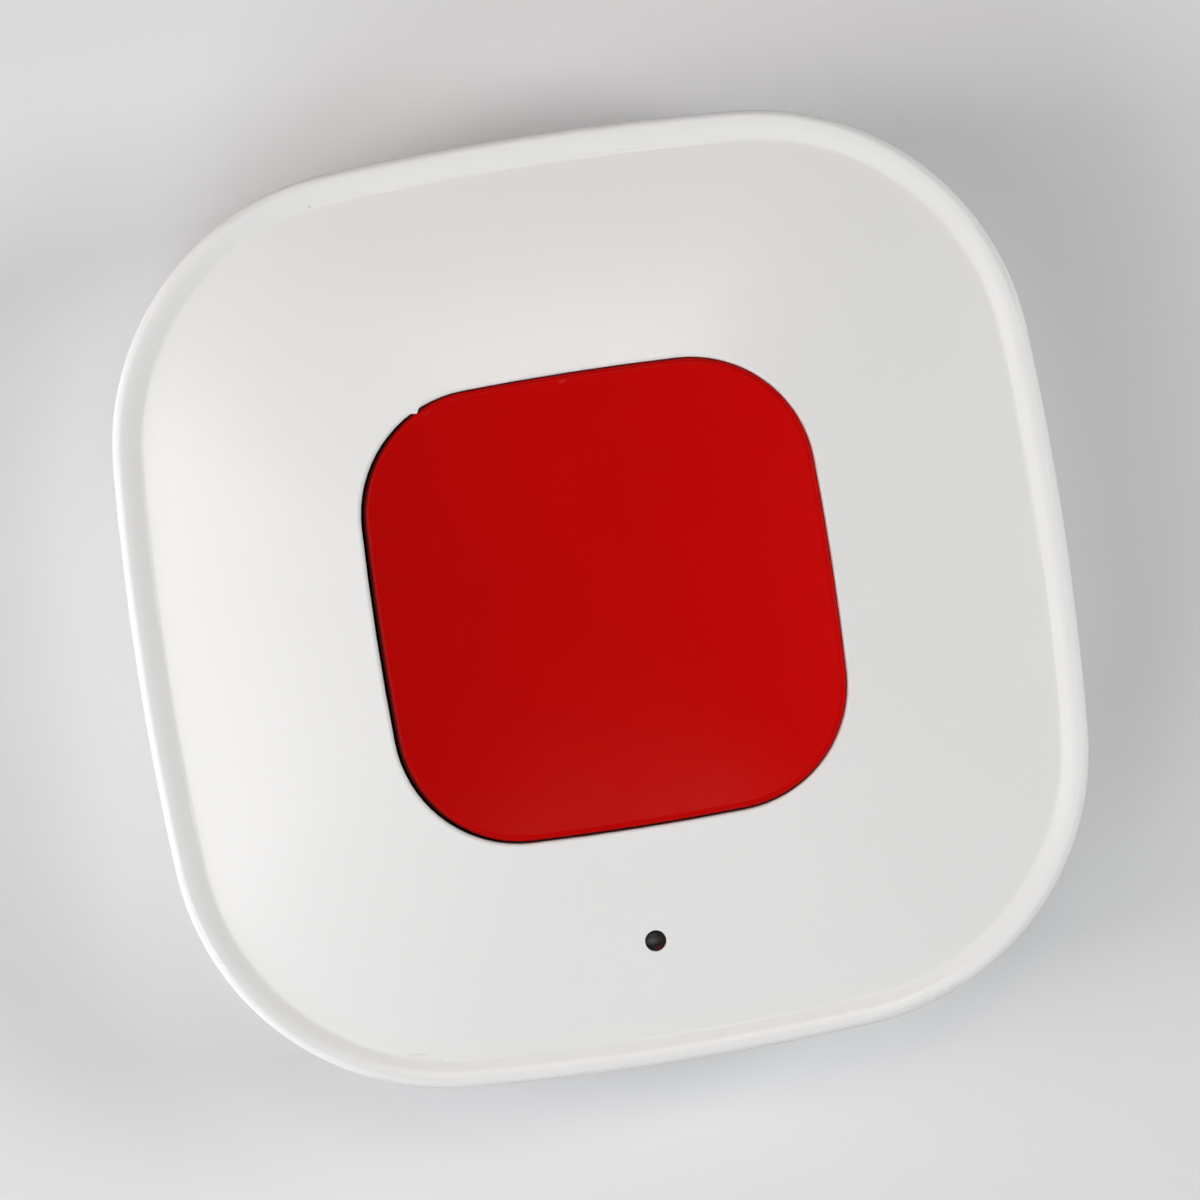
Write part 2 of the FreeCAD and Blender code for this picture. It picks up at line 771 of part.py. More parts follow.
def cell_contact_upper():
    """Strip between the board and the cell's pole, with a leg up to the board at each end."""
    end = contact_half_length
    return bent_strip([(end, board_bottom), (end, cell_top), (-end, cell_top), (-end, board_bottom)],
                      contact_thickness, contact_width)


def cell_contact_side():
    """Strip from the board down to the side of the cell's can."""
    touch = cell_radius + side_contact_gap
    away = touch + side_contact_step
    low = board_bottom - side_contact_depth
    strip = bent_strip([(away, low), (touch, low + side_contact_step), (away, board_bottom),
                        (away + side_contact_step, board_bottom)], contact_thickness, contact_width)
    strip.rotate(ORIGIN, UP, 90)
    return strip


def status_led():
    """Small chip lamp under the light pipe."""
    led = block(0, -led_distance, board_top, led_length, led_width, led_height)
    rim = [e for e in led.Edges if min(v.Z for v in e.Vertexes) > board_top + led_height / 2]
    return led.makeChamfer(led_edge, rim)


def shield_can():
    """Drawn tin lid over the radio's circuits, open below."""
    base = board_top + radio_thickness
    can = block(0, beside_cap, base, shield_length, shield_width, shield_height)
    sharp = [e for e in can.Edges if max(v.Z for v in e.Vertexes) > base + shield_height / 2]
    can = can.makeFillet(shield_round, sharp)
    inside = block(0, beside_cap, base, shield_length - 2 * shield_wall, shield_width - 2 * shield_wall,
                   shield_height - shield_wall)
    return can.cut(inside)


def crystal():
    """Oval metal can beside the controller."""
    length = 2 * crystal_half + crystal_width
    face = Part.Face(slot_wire(beside_cap, crystal_y, board_top, length, crystal_width / 2))
    return face.extrude(FreeCAD.Vector(0, 0, crystal_height))


def capacitors():
    """Two cans, each on its square foot."""
    solids = []
    width = 2 * capacitor_radius
    for x in (-beside_cap, beside_cap):
        foot = block(x, capacitor_y, board_top, width, width, capacitor_foot)
        can = cylinder(x, capacitor_y, board_top, capacitor_radius, capacitor_height)
        solids.append(foot.fuse(can))
    return Part.Compound(solids)


def antenna():
    """Stamped strip that stands on two legs at the left of the board."""
    end = antenna_half_length
    top = board_top + antenna_height
    strip = bent_strip([(-end, board_top), (-end, top), (end, top), (end, board_top)],
                       antenna_thickness, antenna_width)
    strip.translate(FreeCAD.Vector(-antenna_x, 0, 0))
    return strip


def tamper_plunger():
    """Long key of the tamper switch. It reaches through the rear case almost to the plate."""
    stand = board_bottom - rear_switch_height - plate_thickness - tamper_tip_gap
    return switch_plunger(0, rear_switch_y, board_bottom, -1, rear_switch_height, stand, 0)


def tamper_groove():
    """Sloping groove in the plate. As the housing slides up, the tamper key comes out into it."""
    reach = plunger_radius + groove_margin
    slope = tamper_travel / unhook_travel
    start = rear_switch_y - plunger_radius
    end = rear_switch_y + unhook_travel + reach
    points = [
        FreeCAD.Vector(-reach, start, plate_thickness),
        FreeCAD.Vector(-reach, end, plate_thickness - slope * (end - start)),
        FreeCAD.Vector(-reach, end, plate_thickness),
    ]
    return Part.Face(Part.makePolygon(points + points[:1])).extrude(FreeCAD.Vector(2 * reach, 0, 0))


def plate_hook(x, y):
    """Hook that points up behind the floor of the housing."""
    base = plate_thickness / 2
    arm_y = y + (hook_stem + hook_arm) / 2
    tip_y = y + hook_stem / 2 + hook_arm
    stem = block(x, y, base, hook_width, hook_stem, hook_top - base)
    arm = block(x, arm_y, floor_top + hook_gap, hook_width, hook_arm, hook_height)
    hook = stem.fuse(arm).removeSplitter()
    tip = [e for e in hook.Edges if min(v.Y for v in e.Vertexes) > tip_y - TINY]
    upper = [e for e in tip if min(v.Z for v in e.Vertexes) > hook_top - TINY]
    return hook.makeChamfer(hook_tip, upper)


def plate_ribs():
    """What stays solid in the plate's hollow back: lands round slots and hooks, and two crossing ribs."""
    land_radius = wall_slot_length / 2 + wall_head_radius - wall_slot_radius
    groove = 2 * (plunger_radius + groove_margin + plate_rib)
    groove_middle = rear_switch_y + unhook_travel / 2
    width = 2 * body_half
    ribs = [block(0, 0, 0, width, plate_rib, plate_recess_depth)]
    ribs.append(block(0, 0, 0, plate_rib, width, plate_recess_depth))
    ribs.append(block(0, groove_middle, 0, groove, unhook_travel + groove, plate_recess_depth))
    for side in (-1, 1):
        ribs.append(cylinder(side * wall_screw_spacing / 2, 0, 0, land_radius, plate_recess_depth))
    for x, y in hook_places:
        ribs.append(block(x, y, 0, hook_width + plate_rib, hook_stem + 2 * plate_rib, plate_recess_depth))
    return ribs


def screw_slot(x):
    """A slot for a wall screw, flared at the front for its countersunk head."""
    flare = wall_head_radius - wall_slot_radius
    shank = Part.Face(slot_wire(x, 0, 0, wall_slot_length, wall_slot_radius))
    low = slot_wire(x, 0, wall_slot_land, wall_slot_length, wall_slot_radius)
    high = slot_wire(x, 0, plate_thickness, wall_slot_length + 2 * flare, wall_head_radius)
    return [shank.extrude(FreeCAD.Vector(0, 0, wall_slot_land)), Part.makeLoft([low, high], True, True)]


def mounting_plate():
    """Wall plate: rim and ribs at its back, screw slots, tamper groove, and hooks over windows."""
    edge_z = plate_thickness - plate_edge
    top_inset = plate_inset + plate_edge
    faces = [Part.Face(outline(*at(body(plate_inset), 0)))]
    faces += flanks(body(0), [(plate_inset, 0), (plate_inset, edge_z), (top_inset, plate_thickness)])
    faces.append(Part.Face(outline(*at(body(top_inset), plate_thickness))))
    hollow = prism(body(plate_inset + plate_border), 0, plate_recess_depth)
    plate = sewn(faces).cut(hollow.cut(plate_ribs()))
    plate = plate.fuse([plate_hook(x, y) for x, y in hook_places])
    cuts = [tamper_groove()]
    for x, y in hook_places:
        cuts.append(block(x, y + (hook_stem + hook_arm) / 2, 0, hook_width, hook_arm, plate_thickness))
    for side in (-1, 1):
        cuts += screw_slot(side * wall_screw_spacing / 2)
    return plate.cut(cuts)


def main():
    save("front_cover", front_cover())
    save("button_cap", button_cap())
    save("light_pipe", light_pipe())
    save("rear_case", rear_case())
    save("seal_ring", seal_ring())
    save("circuit_board", circuit_board())
    save("case_screws", case_screws())
    save("board_screws", board_screws())
    save("rubber_dome", rubber_dome())
    save("coin_cell", coin_cell())
    save("cell_holder", cell_holder())
    save("cell_contact_upper", cell_contact_upper())
    save("cell_contact_side", cell_contact_side())
    save("status_led", status_led())
    save("radio_board", block(0, beside_cap, board_top, radio_length, radio_width, radio_thickness))
    save("shield_can", shield_can())
    save("controller_chip", block(beside_cap, 0, board_top, chip_size, chip_size, chip_height))
    save("crystal", crystal())
    save("capacitors", capacitors())
    save("antenna", antenna())
    save("mounting_plate", mounting_plate())
    switches = {
        "main_switch": (0, 0, board_top, 1, main_switch_height),
        "pairing_switch": (pairing_x, rear_switch_y, board_bottom, -1, rear_switch_height),
        "tamper_switch": (0, rear_switch_y, board_bottom, -1, rear_switch_height),
    }
    for name, place in switches.items():
        save(name + "_base", switch_base(*place))
        save(name + "_lid", switch_cover(*place))
    save("switch_terminals", switch_terminals([place[:4] for place in switches.values()]))
    keys = {
        "main": (main_plunger_stand, main_plunger_travel),
        "pairing": (pairing_plunger_stand, pairing_plunger_travel),
    }
    for name, reach in keys.items():
        save(name + "_plunger", switch_plunger(*switches[name + "_switch"], *reach))
    save("tamper_plunger", tamper_plunger())


main()
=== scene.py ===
import math

import bmesh
import bpy
from mathutils import Matrix, Vector


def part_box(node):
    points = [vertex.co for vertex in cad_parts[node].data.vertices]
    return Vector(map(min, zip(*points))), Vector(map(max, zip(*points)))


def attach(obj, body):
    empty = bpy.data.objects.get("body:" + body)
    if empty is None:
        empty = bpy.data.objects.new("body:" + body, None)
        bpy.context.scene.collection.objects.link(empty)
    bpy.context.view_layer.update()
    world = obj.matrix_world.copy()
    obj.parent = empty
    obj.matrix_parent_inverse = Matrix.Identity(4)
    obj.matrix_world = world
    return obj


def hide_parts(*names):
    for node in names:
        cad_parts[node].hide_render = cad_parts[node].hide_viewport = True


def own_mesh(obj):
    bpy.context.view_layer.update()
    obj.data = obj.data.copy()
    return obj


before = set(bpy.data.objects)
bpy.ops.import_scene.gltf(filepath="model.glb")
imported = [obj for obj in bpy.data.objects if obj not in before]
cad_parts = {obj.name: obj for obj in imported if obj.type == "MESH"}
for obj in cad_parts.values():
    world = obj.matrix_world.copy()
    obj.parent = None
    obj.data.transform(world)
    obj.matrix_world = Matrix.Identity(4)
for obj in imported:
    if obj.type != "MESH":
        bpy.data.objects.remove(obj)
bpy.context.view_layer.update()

# Sizes are in metres and angles in degrees. +Z points out of the face, +Y to the upper edge.
MM = 0.001
MICRON = 0.000001
COVER_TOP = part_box("front_cover")[1].z
PIPE_LOW, PIPE_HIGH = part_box("light_pipe")
LIGHT_PLACE = (PIPE_LOW + PIPE_HIGH) / 2

# Camera, fitted to the outline, the window and the light's hole in the photograph. The photograph's scale is
# that at the aim, and the sensor's width is in millimetres.
PHOTO_WIDTH = 1200
PIXELS_PER_METRE = 13430
SENSOR_WIDTH = 36
CAMERA_DISTANCE = 0.9
CAMERA_TILT_X = -3.45
CAMERA_TILT_Y = 2.43
CAMERA_ROLL = -8.757
CAMERA_AIM = Vector((-0.18 * MM, -0.01 * MM, 16 * MM))

# Softboxes: azimuth (0 on the -Y side, 90 on the +X side), elevation, distance, width, radiance, tint
# and whether gloss shows them
SOFTBOXES = {
    "left_low": (270, 15, 0.42, 0.19, 8.4, (1.0, 1.0, 1.0), False),
    "left_box": (270, 38, 0.42, 0.19, 3.9, (1.06, 0.98, 0.94), False),
    "right_box": (90, 38, 0.42, 0.19, 9.1, (0.99, 1.0, 1.0), False),
    "lower_box": (315, 38, 0.42, 0.19, 3.9, (0.92, 1.01, 1.08), False),
    "high_box": (270, 60, 1.0, 0.45, 2.4, (1.02, 1.0, 1.0), True),
    "top_lamp": (165, 76, 0.5, 0.08, 5.8, (1.16, 1.0, 0.84), True),
}

# The room's light at the horizon, and how high it reaches, where 1 is straight overhead
HORIZON_LIGHT = 0.6
HORIZON_REACH = 0.2

# The floor's half width, the backdrop's colour, and how far out the floor starts and ends to take it on
FLOOR_HALF = 6.0
BACKDROP = (0.66, 0.66, 0.665)
BACKDROP_START = 0.11
BACKDROP_FULL = 0.3

# The cap lies off the middle of its window, within its clearance, and its face dips at the left edge. The dip
# fades out down to CAP_FACE_DEPTH under the cap's highest point.
CAP_LOW, CAP_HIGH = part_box("button_cap")
CAP_SHIFT = Vector((0.085 * MM, 0.04 * MM, 0))
CAP_DIP = 0.35 * MM
CAP_FACE_DEPTH = 2.4 * MM

# The X of the surface's normal where the painted shadow on the cap's rounded left edge starts, and where it
# is full
ROUNDING_SHADOW_START = -0.2
ROUNDING_SHADOW_FULL = -0.55

# Depths under the cover's highest point between which its white gets warmer
WARM_START = 2.2 * MM
WARM_FULL = 3.2 * MM

# Marks, in millimetres: place, length and width, turn from +X in degrees, and how much they show
FACE_MARKS = (
    ((-17.09, 32.2), (0.26, 0.14), 0, 0.45),
    ((-18.77, -31.41), (1.5, 0.13), -10, 0.22),
    ((-17.2, -32.1), (0.5, 0.12), -10, 0.1),
    ((-32.96, -8.4), (0.2, 0.3), 0, 0.1),
)
CAP_MARKS = (
    ((-0.63, 16.55), (0.5, 0.2), 8, 0.12),
    ((-10.96, 15.74), (0.5, 0.15), 25, 0.06),
)

# Painted glints inside the status light's lens, that is painted highlights and reflections, as marks placed
# from its middle, each with its colour
PAINTED_LENS_GLINTS = (
    ((-0.17, 0.43), (0.8, 0.35), 0, 0.8, (0.06, 0.042, 0.044)),
    ((0.42, 0.1), (0.35, 0.6), 0, 0.7, (0.035, 0.02, 0.014)),
    ((-0.25, 0.04), (0.9, 0.5), 0, 0.9, (0.09, 0.095, 0.085)),
    ((0.12, -0.6), (0.8, 0.4), 25, 0.9, (0.06, 0.001, 0.006)),
)

# Where a mark starts to fade and where it is gone, in half lengths from its middle
MARK_CORE = 0.1
MARK_END = 1.4

# Most of a noise texture lies between these values
NOISE_LOW = 0.3
NOISE_HIGH = 0.7

# Size of the cells that the boards' copper tracks run between, and the outer and inner limit of a track's
# edge, as shares of that size
TRACK_CELL = 2.6 * MM
TRACK_OUTER = 0.12
TRACK_INNER = 0.08

# Sockets of the Mix node that take and give colours
MIX_FIRST = 6
MIX_SECOND = 7
MIX_RESULT = 2

# A burr that the mould left at the window's edge: place, length and width of the oval through its three
# corners with its height, and the turn of its tip from +Y
BURR_PLACE = Vector((-11.83 * MM, 16.15 * MM, COVER_TOP - 0.07 * MM))
BURR_SIZE = (1.73 * MM, 0.67 * MM, 0.12 * MM)
BURR_TURN = 206


def new_material(name, roughness, metallic=0.0):
    """A node material, with its tree and its shader."""
    material = bpy.data.materials.new(name)
    material.use_nodes = True
    tree = material.node_tree
    shader = tree.nodes["Principled BSDF"]
    shader.inputs["Roughness"].default_value = roughness
    shader.inputs["Metallic"].default_value = metallic
    return material, tree, shader


def add_node(tree, kind, links=None, values=None, **settings):
    """A node with its settings, the sockets that feed it and the values of its other inputs."""
    node = tree.nodes.new(kind)
    for name, value in settings.items():
        setattr(node, name, value)
    for name, value in (values or {}).items():
        node.inputs[name].default_value = value
    for name, source in (links or {}).items():
        tree.links.new(source, node.inputs[name])
    return node


def own_place(tree):
    """The object's own coordinates."""
    return add_node(tree, "ShaderNodeTexCoord").outputs["Object"]


def place(tree, scale=(1, 1, 1)):
    """The object's own coordinates, stretched."""
    mapping = add_node(tree, "ShaderNodeMapping", {"Vector": own_place(tree)}, {"Scale": scale})
    return mapping.outputs["Vector"]


def component(tree, vector, axis):
    """The X, Y or Z of a vector."""
    return add_node(tree, "ShaderNodeSeparateXYZ", {"Vector": vector}).outputs[axis]


def length_of(tree, vector):
    """The length of a vector."""
    return add_node(tree, "ShaderNodeVectorMath", {0: vector}, operation="LENGTH").outputs["Value"]


def combine(tree, operation, first, second):
    """Two values as one, by an operation such as MULTIPLY."""
    return add_node(tree, "ShaderNodeMath", {0: first, 1: second}, operation=operation).outputs["Value"]


def noise(tree, size, detail=3.0, stretch=(1, 1, 1)):
    """Soft noise, 0 to 1, with blotches of about this size."""
    node = add_node(tree, "ShaderNodeTexNoise", {"Vector": place(tree, stretch)},
                    {"Scale": 1 / size, "Detail": detail})
    return node.outputs["Fac"]


def ramp(tree, source, low, high, start=0.0, end=1.0):
    """Turn low..high into start..end, and no further."""
    node = add_node(tree, "ShaderNodeMapRange", {"Value": source},
                    {"From Min": low, "From Max": high, "To Min": start, "To Max": end})
    return node.outputs["Result"]


def blend_colours(tree, factor, first, second):
    """Colour that goes from first to second with the factor. Either may be another node's output."""
    node = add_node(tree, "ShaderNodeMix", data_type="RGBA")
    tree.links.new(factor, node.inputs["Factor"])
    for number, colour in ((MIX_FIRST, first), (MIX_SECOND, second)):
        if isinstance(colour, tuple):
            node.inputs[number].default_value = (*colour, 1)
        else:
            tree.links.new(colour, node.inputs[number])
    return node.outputs[MIX_RESULT]


def paint(tree, shader, colour):
    """Give the shader this colour."""
    tree.links.new(colour, shader.inputs["Base Color"])


def vary_roughness(tree, shader, source, low, high):
    """Roughness that goes from low to high with noise."""
    tree.links.new(ramp(tree, source, NOISE_LOW, NOISE_HIGH, low, high), shader.inputs["Roughness"])


def raise_grain(tree, shader, height, depth):
    """Bump of this depth in metres."""
    bump = add_node(tree, "ShaderNodeBump", {"Height": height}, {"Strength": 1.0, "Distance": depth})
    tree.links.new(bump.outputs["Normal"], shader.inputs["Normal"])


def marked(tree, colour, marks, mark_colour):
    """Colour with small oval marks on it, each soft at its edge."""
    for (x, y), (length, width), turn, strength in marks:
        oval = add_node(tree, "ShaderNodeMapping", {"Vector": own_place(tree)}, {
            "Location": (x * MM, y * MM, 0),
            "Rotation": (0, 0, math.radians(turn)),
            "Scale": (length * MM / 2, width * MM / 2, 1),
        }, vector_type="TEXTURE")
        reach = length_of(tree, oval.outputs["Vector"])
        mark = ramp(tree, reach, MARK_CORE, MARK_END, strength, 0.0)
        colour = blend_colours(tree, mark, colour, mark_colour)
    return colour


# The renderer cleans up noise differently on either side of a roughness of 0.274, which shows as blotches.
# So the roughness of the cover and that of the cap stay below it.
def cover_material():
    """Satin white plastic, a touch warmer on the lip and sides, with a few specks in the crease."""
    material, tree, shader = new_material("cover_white", 0.26)
    warm = (0.778, 0.766, 0.745)
    speck = (0.1, 0.095, 0.09)
    height = component(tree, place(tree), "Z")
    warmth = ramp(tree, height, COVER_TOP - WARM_START, COVER_TOP - WARM_FULL)
    white = blend_colours(tree, noise(tree, 9 * MM), (0.772, 0.768, 0.762), (0.788, 0.784, 0.779))
    white = blend_colours(tree, warmth, white, warm)
    paint(tree, shader, marked(tree, white, FACE_MARKS, speck))
    vary_roughness(tree, shader, noise(tree, 4 * MM), low=0.24, high=0.27)
    raise_grain(tree, shader, noise(tree, 0.12 * MM, detail=2.0), depth=1.2 * MICRON)
    return material


def left_rounding_shadow_mask(tree):
    """1 on a rounded edge that looks to the left, 0 on the face: the mask of the painted shadow there."""
    normal = add_node(tree, "ShaderNodeTexCoord").outputs["Normal"]
    return ramp(tree, component(tree, normal, "X"), ROUNDING_SHADOW_START, ROUNDING_SHADOW_FULL)


def cap_material():
    """Red plastic with a soft gloss, with painted shade to the left, painted light to the right and a painted
    shadow on the rounded left edge.
    """
    material, tree, shader = new_material("cap_red", 0.25)
    shader.inputs["Specular IOR Level"].default_value = 0.05
    # dark is the colour of the painted shadow on the cap's rounded left edge
    dark = (0.11, 0.0008, 0.001)
    speck = (0.8, 0.25, 0.22)
    x = component(tree, place(tree), "X")
    blotches = noise(tree, 6 * MM)
    # Painted shade and light: the red is darker at the left and lighter at the right, as the light falls
    # across the cap
    shaded_left_red = blend_colours(tree, blotches, (0.426, 0.0013, 0.001), (0.444, 0.0017, 0.0013))
    lit_right_red = blend_colours(tree, blotches, (0.506, 0.0014, 0.0011), (0.528, 0.0018, 0.0014))
    red = blend_colours(tree, ramp(tree, x, CAP_LOW.x, CAP_HIGH.x), shaded_left_red, lit_right_red)
    # Painted shadow on the rounded left edge, which the window's edge shades
    red = blend_colours(tree, left_rounding_shadow_mask(tree), red, dark)
    paint(tree, shader, marked(tree, red, CAP_MARKS, speck))
    vary_roughness(tree, shader, noise(tree, 2.5 * MM), low=0.22, high=0.27)
    raise_grain(tree, shader, noise(tree, 0.3 * MM, detail=2.0), depth=0.4 * MICRON)
    return material


def lens_material():
    """Smoky plastic with painted reflections in it: a faint pale highlight, brown ones beside it and dark red
    at one edge.
    """
    material, tree, shader = new_material("smoky_lens", 0.12)
    shader.inputs["Specular IOR Level"].default_value = 0.2
    smoke_and_glints = blend_colours(tree, noise(tree, 0.5 * MM), (0.004, 0.003, 0.003), (0.008, 0.006, 0.005))
    # Painted highlights and reflections, laid over the smoke
    for (x, y), size, turn, strength, colour in PAINTED_LENS_GLINTS:
        spot = (LIGHT_PLACE.x / MM + x, LIGHT_PLACE.y / MM + y)
        smoke_and_glints = marked(tree, smoke_and_glints, ((spot, size, turn, strength),), colour)
    paint(tree, shader, smoke_and_glints)
    vary_roughness(tree, shader, noise(tree, 0.4 * MM), low=0.08, high=0.2)
    return material


def moulded_material(name, pale, dark, roughness, grain):
    """Moulded plastic with an eroded grain of this size."""
    material, tree, shader = new_material(name, roughness)
    spread = 0.06
    grain_depth = grain / 20
    paint(tree, shader, blend_colours(tree, noise(tree, 5 * MM), dark, pale))
    vary_roughness(tree, shader, noise(tree, 2 * MM), roughness - spread, roughness + spread)
    raise_grain(tree, shader, noise(tree, grain, detail=4.0), grain_depth)
    return material


def metal_material(name, pale, dark, roughness, brushed=(1, 1, 1)):
    """Plated metal with fine lines or a fine mottle."""
    material, tree, shader = new_material(name, roughness, metallic=1.0)
    lines = noise(tree, 0.35 * MM, detail=5.0, stretch=brushed)
    paint(tree, shader, blend_colours(tree, lines, dark, pale))
    vary_roughness(tree, shader, lines, roughness - 0.08, roughness + 0.1)
    raise_grain(tree, shader, lines, depth=1.5 * MICRON)
    return material


def cell_borders(tree):
    """0 on the borders of many-sided cells, which run level, upright or aslant, and more inside a cell."""
    distances = []
    for feature in ("F2", "F1"):
        points = add_node(tree, "ShaderNodeTexVoronoi", {"Vector": place(tree, (1, 1, 0))},
                          {"Scale": 1 / TRACK_CELL}, distance="MANHATTAN", feature=feature)
        distances.append(points.outputs["Distance"])
    return combine(tree, "SUBTRACT", *distances)


def board_material(name, resist, copper):
    """Solder resist over copper tracks, which run where cells meet."""
    material, tree, shader = new_material(name, 0.35)
    deep_resist = tuple(0.8 * value for value in resist)
    tracks = ramp(tree, cell_borders(tree), TRACK_OUTER, TRACK_INNER)
    mottle = blend_colours(tree, noise(tree, 3 * MM), resist, deep_resist)
    paint(tree, shader, blend_colours(tree, tracks, mottle, copper))
    vary_roughness(tree, shader, noise(tree, 1.5 * MM), low=0.28, high=0.42)
    raise_grain(tree, shader, tracks, depth=12 * MICRON)
    return material


def rubber_material(name, pale, dark, roughness):
    """Dull rubber with a fine grain."""
    material, tree, shader = new_material(name, roughness)
    spread = 0.08
    paint(tree, shader, blend_colours(tree, noise(tree, 1.5 * MM), dark, pale))
    vary_roughness(tree, shader, noise(tree, 0.8 * MM), roughness - spread, roughness + spread)
    raise_grain(tree, shader, noise(tree, 0.1 * MM), depth=3 * MICRON)
    return material


def led_material():
    """Clear resin over a pale body."""
    material, tree, shader = new_material("led_resin", 0.15)
    shader.inputs["Transmission Weight"].default_value = 0.5
    paint(tree, shader, blend_colours(tree, noise(tree, 0.5 * MM), (0.82, 0.80, 0.62), (0.85, 0.84, 0.78)))
    vary_roughness(tree, shader, noise(tree, 0.2 * MM), low=0.1, high=0.2)
    return material


def coat(mesh, material):
    """Give a mesh this material and no other."""
    mesh.materials.clear()
    mesh.materials.append(material)


def dress(material, *nodes):
    """Give CAD nodes one material."""
    for node in nodes:
        coat(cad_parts[node].data, material)


def dress_nodes():
    """Finish of every CAD node that keeps its mesh."""
    black = moulded_material("black_plastic", (0.028, 0.028, 0.03), (0.02, 0.02, 0.021), 0.5, 0.08 * MM)
    case = moulded_material("case_white", (0.79, 0.79, 0.78), (0.765, 0.765, 0.755), 0.52, 0.16 * MM)
    plate = moulded_material("plate_white", (0.78, 0.78, 0.77), (0.755, 0.755, 0.745), 0.56, 0.2 * MM)
    tin = metal_material("tin_plate", (0.74, 0.74, 0.73), (0.62, 0.62, 0.62), 0.32, (1, 8, 1))
    nickel = metal_material("nickel_plate", (0.72, 0.70, 0.66), (0.6, 0.58, 0.55), 0.28, (6, 1, 1))
    cell = metal_material("cell_steel", (0.72, 0.71, 0.70), (0.6, 0.6, 0.59), 0.3, (1, 12, 1))
    zinc = metal_material("zinc_steel", (0.6, 0.6, 0.62), (0.45, 0.45, 0.47), 0.38)
    cans = metal_material("drawn_can", (0.7, 0.7, 0.72), (0.58, 0.58, 0.6), 0.33, (1, 1, 10))
    dress(cover_material(), "front_cover")
    dress(lens_material(), "light_pipe")
    dress(case, "rear_case")
    dress(plate, "mounting_plate")
    dress(rubber_material("seal_rubber", (0.06, 0.06, 0.06), (0.04, 0.04, 0.04), 0.7), "seal_ring")
    dress(board_material("board_green", (0.012, 0.11, 0.045), (0.03, 0.2, 0.08)), "circuit_board")
    dress(board_material("radio_blue", (0.01, 0.035, 0.13), (0.03, 0.08, 0.22)), "radio_board")
    dress(zinc, "case_screws", "board_screws")
    dress(cell, "coin_cell")
    dress(nickel, "cell_contact_upper", "cell_contact_side")
    dress(tin, "shield_can", "crystal", "antenna", "switch_terminals")
    dress(tin, "main_switch_lid", "pairing_switch_lid", "tamper_switch_lid")
    dress(cans, "capacitors")
    dress(led_material(), "status_led")
    dress(black, "cell_holder", "controller_chip", "main_plunger", "pairing_plunger", "tamper_plunger")
    dress(black, "main_switch_base", "pairing_switch_base", "tamper_switch_base")


def add_object(name, data):
    """A new object in the scene."""
    item = bpy.data.objects.new(name, data)
    bpy.context.scene.collection.objects.link(item)
    return item


def copy_of_node(name, node, shift):
    """A piece with a node's mesh, moved by a little."""
    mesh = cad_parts[node].data.copy()
    mesh.name = name
    mesh.transform(Matrix.Translation(shift))
    piece = add_object(name, mesh)
    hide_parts(node)
    return piece


def dip_face(mesh):
    """Let the cap's face dip towards its left edge. What lies deeper than CAP_FACE_DEPTH stays."""
    for vertex in mesh.vertices:
        across = (CAP_HIGH.x - vertex.co.x) / (CAP_HIGH.x - CAP_LOW.x)
        up = 1 - (CAP_HIGH.z - vertex.co.z) / CAP_FACE_DEPTH
        vertex.co.z -= CAP_DIP * across * max(up, 0)


def red_cap():
    """The cap as it lies in its window."""
    cap = copy_of_node("red_cap", "button_cap", CAP_SHIFT)
    dip_face(cap.data)
    coat(cap.data, cap_material())
    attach(cap, "button")


def rubber_hood():
    """The rubber dome under the cap."""
    hood = copy_of_node("rubber_hood", "rubber_dome", Vector((0, 0, 0)))
    coat(hood.data, rubber_material("dome_rubber", (0.5, 0.5, 0.48), (0.42, 0.42, 0.4), 0.6))
    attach(hood, "housing")
    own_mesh(hood)


def window_burr():
    """A flat pointed crumb of the cover's plastic that reaches over the gap beside the cap."""
    shape = Matrix.Translation(BURR_PLACE) @ Matrix.Rotation(math.radians(BURR_TURN), 4, "Z")
    shape @= Matrix.Diagonal((*BURR_SIZE, 1))
    solid = bmesh.new()
    bmesh.ops.create_cone(solid, cap_ends=True, segments=3, radius1=0.5, radius2=0.5, depth=1, matrix=shape)
    mesh = bpy.data.meshes.new("window_burr")
    solid.to_mesh(mesh)
    solid.free()
    mesh.materials.append(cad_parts["front_cover"].data.materials[0])
    burr = add_object("window_burr", mesh)
    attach(burr, "housing")


def make_camera():
    """A camera at the photograph's angle, over the face."""
    tilt_x = math.radians(CAMERA_TILT_X)
    tilt_y = math.radians(CAMERA_TILT_Y)
    roll = math.radians(CAMERA_ROLL)
    back = Vector((math.tan(tilt_x), math.tan(tilt_y), 1)).normalized()
    right = Vector((-math.sin(roll), math.cos(roll), 0)).cross(back).normalized()
    up = back.cross(right)
    data = bpy.data.cameras.new("camera")
    data.sensor_width = SENSOR_WIDTH
    data.lens = SENSOR_WIDTH * CAMERA_DISTANCE * PIXELS_PER_METRE / PHOTO_WIDTH
    camera = add_object("camera", data)
    turn = Matrix((right, up, back)).transposed().to_4x4()
    camera.matrix_world = Matrix.Translation(CAMERA_AIM + back * CAMERA_DISTANCE) @ turn
    bpy.context.scene.camera = camera


def softbox(name, azimuth, elevation, distance, width, radiance, tint, in_gloss):
    """A square lamp that faces the object."""
    a = math.radians(azimuth)
    e = math.radians(elevation)
    back = Vector((math.sin(a) * math.cos(e), -math.cos(a) * math.cos(e), math.sin(e)))
    data = bpy.data.lights.new(name, "AREA")
    data.shape = "SQUARE"
    data.size = width
    data.energy = radiance * width**2 * math.pi
    data.color = tint
    lamp = add_object(name, data)
    lamp.location = back * distance
    lamp.rotation_mode = "QUATERNION"
    lamp.rotation_quaternion = back.to_track_quat("Z", "Y")
    lamp.visible_camera = False
    lamp.visible_glossy = in_gloss


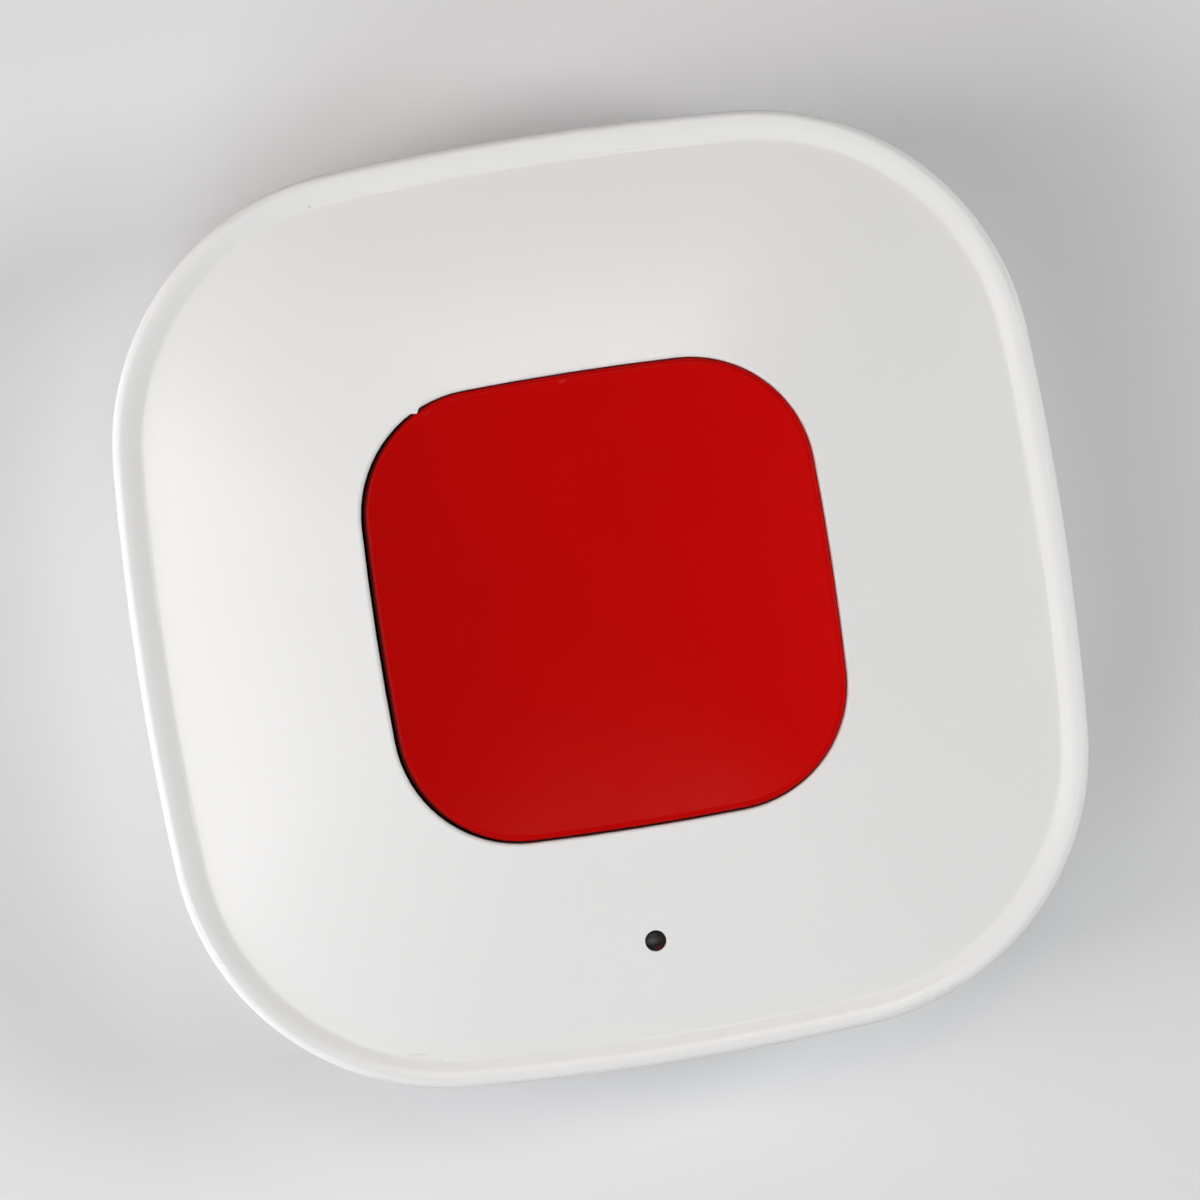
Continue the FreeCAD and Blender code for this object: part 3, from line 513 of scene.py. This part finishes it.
def seen(tree):
    """1 for rays that show the backdrop: to the camera, in gloss and through clear pieces."""
    rays = add_node(tree, "ShaderNodeLightPath").outputs
    shown = combine(tree, "MAXIMUM", rays["Is Camera Ray"], rays["Is Glossy Ray"])
    return combine(tree, "MAXIMUM", shown, rays["Is Transmission Ray"])


def make_floor():
    """A wide pale floor, which goes over into the plain backdrop away from the part's shadow."""
    corners = [(x * FLOOR_HALF, y * FLOOR_HALF, 0) for x, y in ((-1, -1), (1, -1), (1, 1), (-1, 1))]
    data = bpy.data.meshes.new("floor")
    data.from_pydata(corners, [], [(0, 1, 2, 3)])
    floor = add_object("floor", data)
    material, tree, shader = new_material("floor_pale", 0.6)
    paint(tree, shader, blend_colours(tree, noise(tree, 40 * MM), (0.71, 0.71, 0.72), (0.73, 0.73, 0.735)))
    far_out = ramp(tree, length_of(tree, place(tree)), BACKDROP_START, BACKDROP_FULL)
    away = combine(tree, "MULTIPLY", far_out, seen(tree))
    glow = add_node(tree, "ShaderNodeEmission", values={"Color": (*BACKDROP, 1)})
    surfaces = {1: shader.outputs["BSDF"], 2: glow.outputs["Emission"]}
    mix = add_node(tree, "ShaderNodeMixShader", {"Fac": away, **surfaces})
    tree.links.new(mix.outputs["Shader"], tree.nodes["Material Output"].inputs["Surface"])
    data.materials.append(material)


def make_world():
    """Light from a room that is pale at the horizon and dark overhead, in front of the plain backdrop."""
    world = bpy.data.worlds.new("world")
    world.use_nodes = True
    tree = world.node_tree
    direction = add_node(tree, "ShaderNodeTexCoord").outputs["Generated"]
    height = component(tree, direction, "Z")
    light = blend_colours(tree, ramp(tree, height, 0.0, HORIZON_REACH), (HORIZON_LIGHT,) * 3, (0.0, 0.0, 0.0))
    shown = blend_colours(tree, seen(tree), light, BACKDROP)
    tree.links.new(shown, tree.nodes["Background"].inputs["Color"])
    bpy.context.scene.world = world


def main():
    """The dressed part, the camera and the stage."""
    dress_nodes()
    red_cap()
    rubber_hood()
    window_burr()
    make_camera()
    make_floor()
    make_world()
    for name, values in SOFTBOXES.items():
        softbox(name, *values)


main()

bpy.context.scene.view_settings.view_transform = "Standard"
